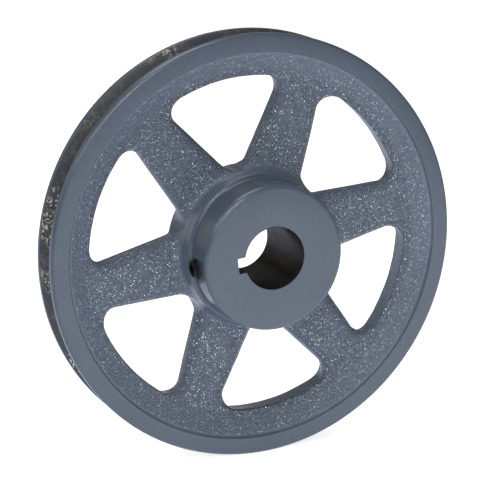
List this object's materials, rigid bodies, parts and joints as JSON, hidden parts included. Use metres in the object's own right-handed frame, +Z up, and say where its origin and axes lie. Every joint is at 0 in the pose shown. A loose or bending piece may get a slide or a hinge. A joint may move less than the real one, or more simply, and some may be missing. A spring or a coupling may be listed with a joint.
{
  "type": "v-belt pulley",
  "caption": "Cast iron pulley with a single V groove, spoked web, offset hub with keyed bore, and a socket set screw over the keyway.",
  "frame": {"origin": "on the bore's axis, in the middle plane of the belt groove", "axes": "Y along the bore, with the hub standing out towards -Y (front); +Z up; the keyway points to -X, 7 degrees below it"},
  "size_m": [0.1766, 0.0364, 0.1766],
  "materials": {
    "painted_cast_iron": "slate blue-grey satin enamel over sand-cast iron, smooth on the turned rim and hub, bare and oiled in the bore",
    "black_oxide_steel": "black oxide with brown highlights"
  },
  "bodies": {
    "wheel": {"pulley_wheel": "painted_cast_iron"},
    "screw": {"set_screw": "black_oxide_steel"}
  },
  "joints": [
    {"name": "set_screw_travel", "type": "slide", "parent": "wheel", "child": "screw", "axis": [-0.9925, 0, -0.1219], "range_m": [-0.0066, 0.007]}
  ]
}
